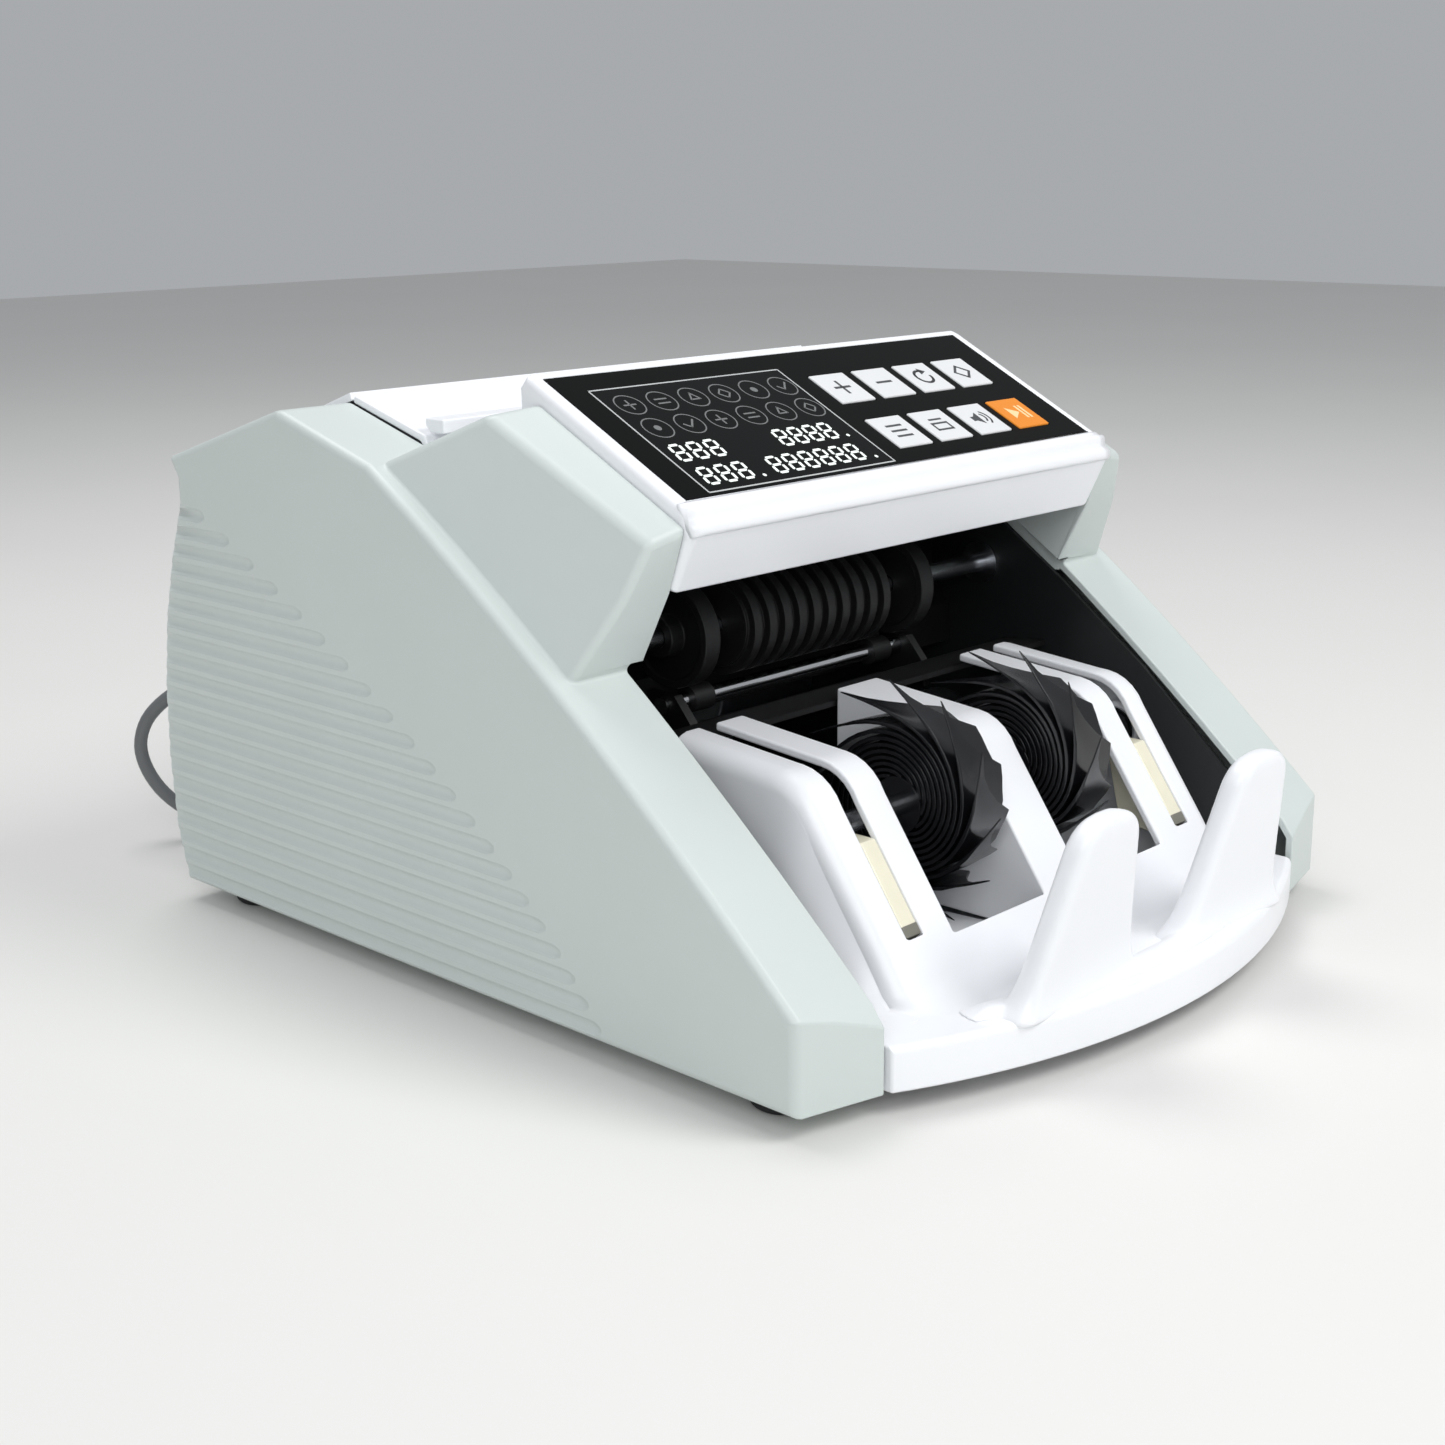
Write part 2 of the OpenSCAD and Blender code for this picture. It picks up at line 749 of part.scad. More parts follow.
module strain_relief() {
  color(black) translate([relief_at[0], 0, relief_at[1]]) {
    translate([0, 130, 0]) rotate([-90, 0, 0]) cylinder(r = 3.4, h = 13, $fn = fine);
    translate([0, 140.2, 0]) rotate([-90, 0, 0]) cylinder(r = 5, h = 4, $fn = fine);
  }
  color(black) hull() {
    translate([relief_at[0], 144, relief_at[1]]) rotate([-90, 0, 0]) cylinder(r = 4, h = 1, $fn = 32);
    translate([-88, 166.9, 60]) rotate([-100, 0, 0]) cylinder(r = 2.6, h = 1, $fn = 32);
  }
}

// Two-pin plug lying beside the coil, its tail towards the last turn.
module mains_plug() {
  color(black) {
    translate([50, 170, 0]) cube([34, 26, 20]);
    for (y = [176.5, 189.5]) translate([84, y, 10]) rotate([0, 90, 0])
      cylinder(r = 2.4, h = 18, $fn = 24);
    translate([43.3, 183, 10]) rotate([0, 90, 0]) cylinder(r = 3.2, h = 7.2, $fn = 32);
  }
}

base_pan();
left_side_casing();
right_side_casing();
left_chassis_plate();
right_chassis_plate();
rear_cover();
hopper_plate();
feed_gate_bar();
head_cover();
head_underside();
control_overlay();
display_module();
control_board();
key_add();
key_verify();
key_mode();
key_value();
key_sum();
key_batch();
key_sound();
key_start();
stacker_cover();
stacker_posts();
light_guides();
front_guide_plate();
rear_guide_plate();
tie_rods();
retard_block();
gap_knob();
pickup_shaft();
pickup_rollers();
feed_shaft();
feed_roller();
feed_discs();
pinch_rod();
pinch_rollers();
wheel_shaft();
left_stacking_wheel();
right_stacking_wheel();
shaft_bearings();
main_motor();
wheel_motor();
motor_pulley();
feed_pulley();
pickup_pulley();
wheel_motor_pulley();
wheel_pulley();
main_belt();
pickup_belt();
wheel_belt();
main_board();
transformer();
switch_housing();
power_rocker();
rubber_feet();
casing_screws();
strain_relief();
mains_lead();
lead_coil();
mains_plug();
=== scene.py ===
"""Looks of the banknote counter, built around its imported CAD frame.

Metres, in the part's own frame: front at -Y, +X to the machine's right seen from the front, +Z up.
Sizes are written in millimetres and scaled by MM.
"""

import math

import bmesh
import bpy
from mathutils import Matrix, Vector


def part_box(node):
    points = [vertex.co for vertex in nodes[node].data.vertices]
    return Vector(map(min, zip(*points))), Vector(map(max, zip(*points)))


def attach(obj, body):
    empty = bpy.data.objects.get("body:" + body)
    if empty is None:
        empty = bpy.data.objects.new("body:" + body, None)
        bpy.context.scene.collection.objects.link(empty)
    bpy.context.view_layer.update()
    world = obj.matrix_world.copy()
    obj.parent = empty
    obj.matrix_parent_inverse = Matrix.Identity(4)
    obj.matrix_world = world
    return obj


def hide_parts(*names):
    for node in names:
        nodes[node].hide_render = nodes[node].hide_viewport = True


MM = 0.001

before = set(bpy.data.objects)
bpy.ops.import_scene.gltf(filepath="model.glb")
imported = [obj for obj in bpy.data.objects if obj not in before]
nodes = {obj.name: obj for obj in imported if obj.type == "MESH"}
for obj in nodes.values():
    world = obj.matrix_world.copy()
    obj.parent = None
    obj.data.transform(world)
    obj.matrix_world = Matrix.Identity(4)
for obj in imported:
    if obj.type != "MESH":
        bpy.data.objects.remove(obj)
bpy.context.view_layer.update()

# Driving sizes, as in the CAD.
HALF_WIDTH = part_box("right_side_casing")[1].x / MM
PANEL_TILT = math.radians(27)
PANEL_FOOT = Vector((0, -49.4, 141.2))
KEY_ROWS = {
    38.5: ("key_add", "key_verify", "key_mode", "key_value"),
    14.5: ("key_sum", "key_batch", "key_sound", "key_start"),
}
KEY_X0, KEY_PITCH, KEY_TOP = 11.5, 19, 0.4
WHEEL_Y, WHEEL_Z = -74, 54.5
LEAD_D = 4.5
HUMP_HALF = 78
# Degrees past which an edge counts as sharp where roundings go by zone.
SHARP_ANGLE = 20


# ---------------------------------------------------------------- materials


def linear(*srgb):
    """An 8-bit sRGB colour as linear RGBA."""
    return tuple(
        c / 255 / 12.92 if c <= 10 else ((c / 255 + 0.055) / 1.055) ** 2.4 for c in srgb
    ) + (1.0,)


def node(tree, kind, **inputs):
    """A shader node with the given inputs set; a name's underscores stand for spaces."""
    n = tree.nodes.new(kind)
    for name, value in inputs.items():
        n.inputs[name.replace("_", " ")].default_value = value
    return n


def material(
    name,
    colour,
    rough,
    mottle=0.03,
    mottle_mm=40,
    rough_spread=0.06,
    grain=0.0,
    grain_mm=0.6,
    stretch=(1, 1, 1),
    **sockets,
):
    """A procedural finish: colour mottled at one scale, roughness that follows it, and a fine grain
    as bump. stretch lengthens the grain along an axis, for brushed metal. sockets are the shader's
    own values."""
    m = bpy.data.materials.new(name)
    m.use_nodes = True
    tree = m.node_tree
    shader = tree.nodes["Principled BSDF"]
    for socket, value in sockets.items():
        shader.inputs[socket.replace("_", " ")].default_value = value
    place = tree.nodes.new("ShaderNodeTexCoord")
    clouds = node(
        tree, "ShaderNodeTexNoise", Scale=1 / (mottle_mm * MM), Detail=4.0, Roughness=0.6
    )
    tree.links.new(place.outputs["Object"], clouds.inputs["Vector"])
    tint = tree.nodes.new("ShaderNodeMix")
    tint.data_type = "RGBA"
    dark, light = (
        tuple(min(1, c * k) for c in colour[:3]) + (1,) for k in (1 - mottle, 1 + mottle)
    )
    tint.inputs["A"].default_value, tint.inputs["B"].default_value = dark, light
    tree.links.new(clouds.outputs["Fac"], tint.inputs["Factor"])
    tree.links.new(tint.outputs["Result"], shader.inputs["Base Color"])
    gloss = tree.nodes.new("ShaderNodeMapRange")
    gloss.inputs["To Min"].default_value = max(0.02, rough - rough_spread)
    gloss.inputs["To Max"].default_value = min(1, rough + rough_spread)
    tree.links.new(clouds.outputs["Fac"], gloss.inputs["Value"])
    tree.links.new(gloss.outputs["Result"], shader.inputs["Roughness"])
    if grain:
        scaled = node(tree, "ShaderNodeMapping", Scale=stretch)
        tree.links.new(place.outputs["Object"], scaled.inputs["Vector"])
        fine = node(tree, "ShaderNodeTexNoise", Scale=1 / (grain_mm * MM), Detail=3.0)
        tree.links.new(scaled.outputs["Vector"], fine.inputs["Vector"])
        bump = node(tree, "ShaderNodeBump", Strength=grain, Distance=0.1 * MM)
        tree.links.new(fine.outputs["Fac"], bump.inputs["Height"])
        tree.links.new(bump.outputs["Normal"], shader.inputs["Normal"])
    return m


casing = material("casing_plastic", linear(203, 211, 208), 0.42, grain=0.12)
white = material("white_plastic", linear(243, 244, 247), 0.3, mottle=0.012, grain=0.05)
inner_black = material("inner_black", linear(24, 26, 27), 0.45, mottle=0.15, grain=0.2)
guide_black = material("guide_black", linear(13, 13, 14), 0.5, mottle=0.15, grain=0.2)
overlay = material(
    "overlay_film", linear(9, 10, 9), 0.36, mottle=0.2, grain=0.06, Specular_IOR_Level=0.05
)
window = material(
    "display_window", linear(14, 15, 15), 0.24, mottle=0.1, grain=0.02, Specular_IOR_Level=0.06
)
icon_ink = material("icon_ink", linear(112, 114, 114), 0.5, mottle=0.1)
frame_ink = material("frame_ink", linear(190, 192, 192), 0.5, mottle=0.06)
digit_ink = material(
    "digit_ink",
    linear(232, 238, 234),
    0.5,
    mottle=0.06,
    mottle_mm=3,
    Emission_Color=linear(225, 236, 230),
    Emission_Strength=0.3,
)
key_pale = material("key_pale", linear(222, 223, 224), 0.4, mottle=0.03, grain=0.1)
key_orange = material("key_orange", linear(232, 138, 30), 0.4, mottle=0.05, grain=0.1)
legend_dark = material("legend_dark", linear(70, 72, 74), 0.5, mottle=0.1)
legend_pale = material("legend_pale", linear(250, 214, 160), 0.5, mottle=0.05)
wheel_rubber = material(
    "wheel_rubber", linear(20, 20, 23), 0.22, mottle=0.25, mottle_mm=12, grain=0.05
)
roller_rubber = material("roller_rubber", linear(24, 24, 25), 0.5, mottle=0.2, grain=0.25)
acrylic = material(
    "cream_acrylic",
    linear(236, 231, 208),
    0.16,
    mottle=0.06,
    mottle_mm=6,
    Coat_Weight=0.6,
    Coat_Roughness=0.05,
)
acrylic_end = material("acrylic_end", linear(120, 118, 108), 0.3, mottle=0.1)
bright_steel = material(
    "bright_steel",
    linear(190, 192, 196),
    0.25,
    mottle=0.05,
    grain=0.25,
    stretch=(0.08, 1, 1),
    Metallic=1.0,
)
chrome = material("chrome", linear(225, 226, 228), 0.1, mottle=0.03, Metallic=1.0)
zinc = material(
    "zinc_plate",
    linear(165, 168, 172),
    0.4,
    mottle=0.12,
    mottle_mm=9,
    grain=0.15,
    Metallic=1.0,
)
board = material("board_green", linear(34, 92, 56), 0.4, mottle=0.2, mottle_mm=4)
belt = material("belt_rubber", linear(26, 26, 28), 0.6, mottle=0.2, grain=0.4)
pulley = material("pulley_black", linear(34, 34, 36), 0.45, mottle=0.15, grain=0.15)
switch_black = material("switch_black", linear(22, 22, 24), 0.3, mottle=0.15, grain=0.1)
foot_rubber = material("foot_rubber", linear(32, 32, 34), 0.75, mottle=0.2, grain=0.5)
lead_sheath = material(
    "lead_sheath", linear(104, 106, 108), 0.45, mottle=0.08, mottle_mm=8, grain=0.15
)

FINISHES = {
    casing: ["left_side_casing", "right_side_casing"],
    white: [
        "head_cover",
        "hopper_plate",
        "rear_cover",
        "feed_gate_bar",
        "stacker_cover",
        "stacker_posts",
    ],
    zinc: ["base_pan", "tie_rods", "main_motor", "wheel_motor", "transformer"],
    inner_black: ["left_chassis_plate", "right_chassis_plate"],
    guide_black: [
        "head_underside",
        "front_guide_plate",
        "rear_guide_plate",
        "retard_block",
        "gap_knob",
    ],
    overlay: ["control_overlay"],
    window: ["display_module"],
    board: ["control_board", "main_board"],
    acrylic: ["light_guides"],
    bright_steel: [
        "pickup_shaft",
        "feed_shaft",
        "wheel_shaft",
        "shaft_bearings",
        "casing_screws",
    ],
    chrome: ["pinch_rod"],
    roller_rubber: ["pickup_rollers", "feed_roller", "feed_discs", "pinch_rollers"],
    wheel_rubber: ["left_stacking_wheel", "right_stacking_wheel"],
    pulley: [
        "motor_pulley",
        "feed_pulley",
        "pickup_pulley",
        "wheel_motor_pulley",
        "wheel_pulley",
    ],
    belt: ["main_belt", "pickup_belt", "wheel_belt"],
    switch_black: ["switch_housing", "power_rocker"],
    foot_rubber: ["rubber_feet"],
    lead_sheath: ["strain_relief", "mains_lead", "lead_coil", "mains_plug"],
    key_orange: ["key_start"],
    key_pale: [k for row in KEY_ROWS.values() for k in row if k != "key_start"],
}


def paint(o, finish):
    """Gives every face of an object one finish."""
    if not o.material_slots:
        o.data.materials.append(finish)
    for s in o.material_slots:
        s.material = finish


for finish, names in FINISHES.items():
    for n in names:
        paint(nodes[n], finish)


# ------------------------------------------------------------ mesh helpers


def piece(name, bm, finish, body, stands_for=()):
    """A finished piece from a bmesh in millimetres, riding on a CAD body."""
    mesh = bpy.data.meshes.new(name)
    bm.to_mesh(mesh)
    bm.free()
    mesh.transform(Matrix.Scale(MM, 4))
    o = bpy.data.objects.new(name, mesh)
    bpy.context.scene.collection.objects.link(o)
    paint(o, finish)
    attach(o, body)
    if stands_for:
        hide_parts(*stands_for)
    return o


def weigh_edges(o, widest, plain, zones, hollow):
    """Stores how wide each sharp edge is rounded: plain millimetres, or a zone's own width where
    the middle of the edge lies in the zone's box. Inner corners get the hollow share of that."""
    tree = bpy.data.node_groups.new(f"{o.name}_edge_widths", "GeometryNodeTree")
    for way in ("INPUT", "OUTPUT"):
        tree.interface.new_socket("Geometry", in_out=way, socket_type="NodeSocketGeometry")

    def sum_of(kind, operation, *values):
        n = tree.nodes.new(kind)
        n.operation = operation
        for socket, value in zip(n.inputs, values):
            if isinstance(value, bpy.types.NodeSocket):
                tree.links.new(value, socket)
            else:
                socket.default_value = value
        return n.outputs[0]

    def maths(operation, *values):
        return sum_of("ShaderNodeMath", operation, *values)

    def vectors(operation, *values):
        return sum_of("ShaderNodeVectorMath", operation, *values)

    place = tree.nodes.new("GeometryNodeInputPosition").outputs[0]
    weight = plain / widest
    for low, high, width in zones:
        low, high = Vector(low) * MM, Vector(high) * MM
        off = vectors("DIVIDE", vectors("SUBTRACT", place, (low + high) / 2), (high - low) / 2)
        split = tree.nodes.new("ShaderNodeSeparateXYZ")
        tree.links.new(vectors("ABSOLUTE", off), split.inputs[0])
        x, y, z = split.outputs
        inside = maths("LESS_THAN", maths("MAXIMUM", maths("MAXIMUM", x, y), z), 1.0)
        weight = maths(
            "ADD",
            maths("MULTIPLY", inside, width / widest),
            maths("MULTIPLY", maths("SUBTRACT", 1.0, inside), weight),
        )
    angles = tree.nodes.new("GeometryNodeInputMeshEdgeAngle").outputs
    sharp = maths("GREATER_THAN", angles["Unsigned Angle"], math.radians(SHARP_ANGLE))
    inner = maths("LESS_THAN", angles["Signed Angle"], 0.0)
    share = maths("ADD", maths("MULTIPLY", inner, hollow - 1.0), 1.0)
    weight = maths("MULTIPLY", weight, maths("MULTIPLY", sharp, share))
    store = tree.nodes.new("GeometryNodeStoreNamedAttribute")
    store.data_type, store.domain = "FLOAT", "EDGE"
    store.inputs["Name"].default_value = "bevel_weight_edge"
    tree.links.new(weight, store.inputs["Value"])
    tree.links.new(tree.nodes.new("NodeGroupInput").outputs[0], store.inputs["Geometry"])
    tree.links.new(store.outputs["Geometry"], tree.nodes.new("NodeGroupOutput").inputs[0])
    o.modifiers.new("edge_widths", "NODES").node_group = tree


def soften(o, width, segments=3, angle=25, weld=True, zones=(), hollow=1):
    """Rounds an object's edges by width millimetres, or by their zone's width, with modifiers
    only. Clamping is off with zones, because it would narrow every edge to the tightest one's
    room, so a zone keeps clear of holes smaller than its width."""
    if weld:
        o.modifiers.new("join", "WELD").merge_threshold = 0.01 * MM
        flats = o.modifiers.new("flats", "DECIMATE")
        flats.decimate_type = "DISSOLVE"
        flats.angle_limit = math.radians(0.8)
    if zones:
        widest = max(zone[2] for zone in zones)
        weigh_edges(o, widest, width, zones, hollow)
    edges = o.modifiers.new("edges", "BEVEL")
    edges.width = (widest if zones else width) * MM
    edges.segments = segments
    edges.limit_method = "WEIGHT" if zones else "ANGLE"
    edges.use_clamp_overlap = not zones
    edges.angle_limit = math.radians(angle)
    edges.miter_outer = "MITER_ARC"
    shading = o.modifiers.new("shading", "WEIGHTED_NORMAL")
    shading.keep_sharp = False
    shading.weight = 60
    return edges


# ------------------------------------------------- camera, lights and floor

CAMERA_AZIMUTH = math.radians(-46.2794)
CAMERA_ELEVATION = math.radians(15.0727)
CAMERA_ROLL = math.radians(-0.5677)
CAMERA_PLACE = Vector((-458.93, -415.479, 224.337)) * MM
CAMERA_LENS = 52.406


def make_camera():
    back = Vector(
        (
            math.sin(CAMERA_AZIMUTH) * math.cos(CAMERA_ELEVATION),
            -math.cos(CAMERA_AZIMUTH) * math.cos(CAMERA_ELEVATION),
            math.sin(CAMERA_ELEVATION),
        )
    )
    level = Vector((math.cos(CAMERA_AZIMUTH), math.sin(CAMERA_AZIMUTH), 0))
    rise = back.cross(level)
    right = level * math.cos(CAMERA_ROLL) + rise * math.sin(CAMERA_ROLL)
    up = rise * math.cos(CAMERA_ROLL) - level * math.sin(CAMERA_ROLL)
    data = bpy.data.cameras.new("camera")
    data.sensor_width, data.lens = 36, CAMERA_LENS
    data.clip_start, data.clip_end = 0.01, 20
    camera = bpy.data.objects.new("camera", data)
    bpy.context.scene.collection.objects.link(camera)
    camera.matrix_world = (
        Matrix.Translation(CAMERA_PLACE)
        @ Matrix((right, up, back)).transposed().to_4x4()
    )
    bpy.context.scene.camera = camera


def area_light(name, place, aim, size, watts, tint):
    data = bpy.data.lights.new(name, "AREA")
    data.shape, data.size, data.energy, data.color = "DISK", size, watts, tint
    o = bpy.data.objects.new(name, data)
    bpy.context.scene.collection.objects.link(o)
    o.location = place
    o.rotation_mode = "QUATERNION"
    o.rotation_quaternion = (Vector(aim) - Vector(place)).to_track_quat("-Z", "Y")


# Name, place, aim, size, watts and tint.
STUDIO_LIGHTS = [
    ("key", (0.35, -0.9, 1.1), (0, 0, 0.08), 0.7, 9, (1, 1, 1)),
    ("fill", (-0.95, -0.85, 0.75), (0, 0, 0.08), 0.9, 6.5, (0.97, 0.99, 1)),
    ("top", (0.0, 0.5, 1.3), (0, 0, 0.1), 0.8, 7, (1, 1, 1)),
]


def make_studio():
    bm = bmesh.new()
    bmesh.ops.create_grid(bm, x_segments=8, y_segments=8, size=3000)
    mesh = bpy.data.meshes.new("floor")
    bm.to_mesh(mesh)
    bm.free()
    mesh.transform(Matrix.Scale(MM, 4))
    floor = bpy.data.objects.new("floor", mesh)
    bpy.context.scene.collection.objects.link(floor)
    paint(floor, material("floor_pale", linear(226, 225, 222), 0.7, mottle_mm=400))
    world = bpy.data.worlds.new("studio")
    bpy.context.scene.world = world
    world.use_nodes = True
    sky = world.node_tree.nodes["Background"]
    sky.inputs["Color"].default_value = (0.93, 0.96, 1, 1)
    sky.inputs["Strength"].default_value = 0.42
    for light in STUDIO_LIGHTS:
        area_light(*light)
    bpy.context.scene.view_settings.view_transform = "Standard"


make_camera()
make_studio()


# --------------------------------------------------------------- mains lead

LEAD_ROUTE = [
    (-88, 168, 60), (-88, 174.5, 59), (-90, 182.5, 56), (-94.5, 190.8, 50.5), (-98.5, 197, 43),
    (-100, 199.8, 34), (-98.5, 199, 25), (-94.5, 195.8, 16.5), (-87.5, 191.5, 9.3),
    (-78, 186.7, 4.6), (-67.5, 183, 2.7), (-56, 181, 2.3), (-46, 180, 2.3), (-36, 180, 2.3),
    (-26, 181, 2.3), (-14, 182.6, 2.3), (-2.3, 183, 2.3),
]  # fmt: skip
COIL_AT, COIL_R = Vector((20, 208)), 25
COIL_START = math.radians(-112)
# Where each turn lies in the bundle: (column outwards, layer upwards), and how far round the turn
# it starts to move over to the next place, so that no turn moves into one that is still there.
COIL_PLACES = [
    (1, 0), (0, 0), (-1, 0), (-1, 1), (-1, 2), (0, 2), (0, 1), (1, 1), (1, 2),
]  # fmt: skip
COIL_MOVES = [230, 230, 184, 184, 138, 92, 46, 0]
MOVE_SPAN = 130
TURN_POINTS = 36
LEAD_TAIL = [(32, 180.0, 11), (41, 182.4, 10.1), (48, 183, 10)]


def coil_points():
    """The centreline of the coil, turn by turn."""
    points = []
    for k in range(len(COIL_PLACES) * TURN_POINTS + 1):
        turn, at = divmod(k * 360 / TURN_POINTS, 360)
        turn = int(turn)
        here = COIL_PLACES[min(turn, len(COIL_PLACES) - 1)]
        there, t = here, 0
        if turn < len(COIL_MOVES):
            there = COIL_PLACES[turn + 1]
            t = min(1, max(0, (at - COIL_MOVES[turn]) / MOVE_SPAN))
        t = t * t * (3 - 2 * t)
        column, layer = (a + (b - a) * t for a, b in zip(here, there))
        r = COIL_R + column * LEAD_D
        a = COIL_START + math.radians(k * 360 / TURN_POINTS)
        points.append(
            (
                COIL_AT.x + r * math.cos(a),
                COIL_AT.y + r * math.sin(a),
                (layer + 0.5) * LEAD_D,
            )
        )
    return points


def eased(points, steps=4):
    """A smooth line through points."""
    p = [Vector(v) for v in points]
    line = []
    for i in range(len(p) - 1):
        a, b, c, d = p[max(i - 1, 0)], p[i], p[i + 1], p[min(i + 2, len(p) - 1)]
        for k in range(steps):
            t = k / steps
            line.append(
                b
                + 0.5
                * t
                * ((c - a) + t * ((2 * a - 5 * b + 4 * c - d) + t * (3 * b - a - 3 * c + d)))
            )
    return line + [p[-1]]


def make_lead():
    coil = coil_points()
    line = eased(LEAD_ROUTE + coil[:2])[:-4] + [Vector(c) for c in coil[:-1]]
    line += eased([coil[-2], coil[-1], *LEAD_TAIL])[4:]
    curve = bpy.data.curves.new("mains_lead_sheath", "CURVE")
    curve.dimensions = "3D"
    curve.bevel_depth = LEAD_D / 2 * MM
    curve.bevel_resolution = 3
    curve.use_fill_caps = True
    spline = curve.splines.new("POLY")
    spline.points.add(len(line) - 1)
    for p, q in zip(spline.points, line):
        p.co = (*(q * MM), 1)
    spline.use_smooth = True
    o = bpy.data.objects.new("mains_lead_sheath", curve)
    bpy.context.scene.collection.objects.link(o)
    o.data.materials.append(lead_sheath)
    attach(o, "chassis")
    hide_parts("mains_lead", "lead_coil")
    length = sum((b - a).length for a, b in zip(line, line[1:])) * MM
    return o, length


def lathe(bm, profile, matrix, sides=32):
    """Surface of revolution about the matrix's own X axis, from (along, radius) pairs."""
    rings = []
    for x, r in profile:
        rings.append(
            [
                bm.verts.new(
                    matrix
                    @ Vector(
                        (
                            x,
                            r * math.cos(2 * math.pi * k / sides),
                            r * math.sin(2 * math.pi * k / sides),
                        )
                    )
                )
                for k in range(sides)
            ]
        )
    for a, b in zip(rings, rings[1:]):
        for k in range(sides):
            j = (k + 1) % sides
            bm.faces.new((a[k], a[j], b[j], b[k]))
    bm.faces.new(rings[0][::-1])
    bm.faces.new(rings[-1])


def make_strain_relief():
    """A tapered sleeve with rings cut into it, from the rear cover to the lead's exit."""
    start, end = Vector((-88, 138, 62)), Vector((-88, 168.4, 60))
    along = (end - start).normalized()
    side = Vector((0, 0, 1)).cross(along).normalized()
    axes = Matrix((along, side, along.cross(side))).transposed().to_4x4()
    axes.translation = start
    profile = [(0, 3.3), (2.4, 3.3), (2.5, 5), (5.6, 5), (6.2, 4.4)]
    for k in range(7):
        x, r = 7.4 + 3 * k, 4.3 - 0.22 * k
        profile += [(x, r), (x + 1.7, r - 0.1), (x + 1.9, r - 0.8), (x + 2.8, r - 0.9)]
    profile += [(29, 2.75), ((end - start).length, 2.5)]
    bm = bmesh.new()
    lathe(bm, profile, axes)
    o = piece(
        "lead_strain_relief", bm, lead_sheath, "chassis", ["strain_relief"]
    )
    soften(o, 0.15, 2, weld=False)
    return o


lead, lead_length = make_lead()
relief = make_strain_relief()
soften(nodes["mains_plug"], 2.2, 4)


# ----------------------------------------------------------- moulded shells

RIB_PITCH, RIB_R, RIB_DEPTH = 5.7, 2.8, 1.05
RIB_LOW, RIB_COUNT, RIB_BACK = 9.8, 21, 152


def rib_end(z):
    """How far forward the groove at height z runs: the slanting edge of the ribbed field."""
    return -46 + 1.073 * (z - 9) + 0.00623 * (z - 9) * (z - 64)


def groove_cutter(side):
    """Round-ended bars that cut the grooves between the ribs into a casing's outer face."""
    bm = bmesh.new()
    for k in range(RIB_COUNT):
        z = RIB_LOW + RIB_PITCH * k
        x = side * (HALF_WIDTH + RIB_R - RIB_DEPTH)
        axes = Matrix.Translation((x, rib_end(z), z)) @ Matrix.Rotation(
            math.pi / 2, 4, "Z"
        )
        cap = [
            (-2.2 * RIB_R * math.cos(t), RIB_R * math.sin(t))
            for t in (math.radians(12 * s) for s in range(1, 8))
        ]
        lathe(bm, cap + [(RIB_BACK - rib_end(z), RIB_R)], axes, 24)
    bmesh.ops.recalc_face_normals(bm, faces=bm.faces)
    o = piece(f"groove_cutter_{'left' if side < 0 else 'right'}", bm, casing, "chassis")
    o.hide_render = True
    o.hide_viewport = False
    return o


def finish_casing(name, side):
    o = nodes[name]
    zones = [
        ((-123, -200, 0), (-121.4, 200, 200), 2.4),
        ((-119.6, -57, 92), (-97.6, 35, 168), 2.4),
        ((-121, 70, 150), (-98, 80, 160), 2.4),
    ]
    if side > 0:
        zones = [((-b[0], *a[1:]), (-a[0], *b[1:]), w) for a, b, w in zones]
    soften(o, 0.6, 4, zones=zones, hollow=0.4)
    cut = o.modifiers.new("grooves", "BOOLEAN")
    cut.object = groove_cutter(side)
    # The exact solver's result varies from run to run here; this one's doesn't.
    cut.solver = "MANIFOLD"
    o.modifiers.move(len(o.modifiers) - 1, len(o.modifiers) - 2)


finish_casing("left_side_casing", -1)
finish_casing("right_side_casing", 1)
for name, width in {
    "hopper_plate": 0.7,
    "rear_cover": 0.8,
    "feed_gate_bar": 0.6,
    "light_guides": 0.4,
    "switch_housing": 0.4,
    "power_rocker": 0.5,
    "transformer": 0.4,
    "gap_knob": 0.3,
    "feed_roller": 0.25,
    "feed_discs": 0.5,
    "pickup_rollers": 0.6,
    "main_motor": 0.8,
    "wheel_motor": 0.6,
    "rubber_feet": 0.5,
}.items():
    soften(nodes[name], width)
soften(
    nodes["head_cover"],
    0.7,
    zones=[((s * 92 - 0.6, -60, 110), (s * 92 + 0.6, 20, 175), 2.2) for s in (-1, 1)],
)
soften(
    nodes["stacker_cover"],
    0.8,
    4,
    zones=[((-97, -150, 17), (97, -116, 19), 2)]
    + [((s * HUMP_HALF - 0.6, -116, 36), (s * HUMP_HALF + 0.6, -28, 80), 6.5) for s in (-1, 1)]
    + [((s * HUMP_HALF - 0.6, -116, 19), (s * HUMP_HALF + 0.6, -50, 36), 6.5) for s in (-1, 1)]
    + [((s * HUMP_HALF - 0.6, -119, 17), (s * HUMP_HALF + 0.6, -28, 19), 3) for s in (-1, 1)]
    + [((-HUMP_HALF, -118, 17), (HUMP_HALF, -116, 19), 5)],
)
for row in KEY_ROWS.values():
    for name in row:
        soften(nodes[name], 0.45)


# ------------------------------------------------- note posts, bezel, guides

TRAY_Z, LIP_R, LIP_C = 18, 208, 62
POST_HALF, POST_TOP, POST_LEAN = 23.5, 50.5, math.radians(11)
POST_AT = (36.5, -133)


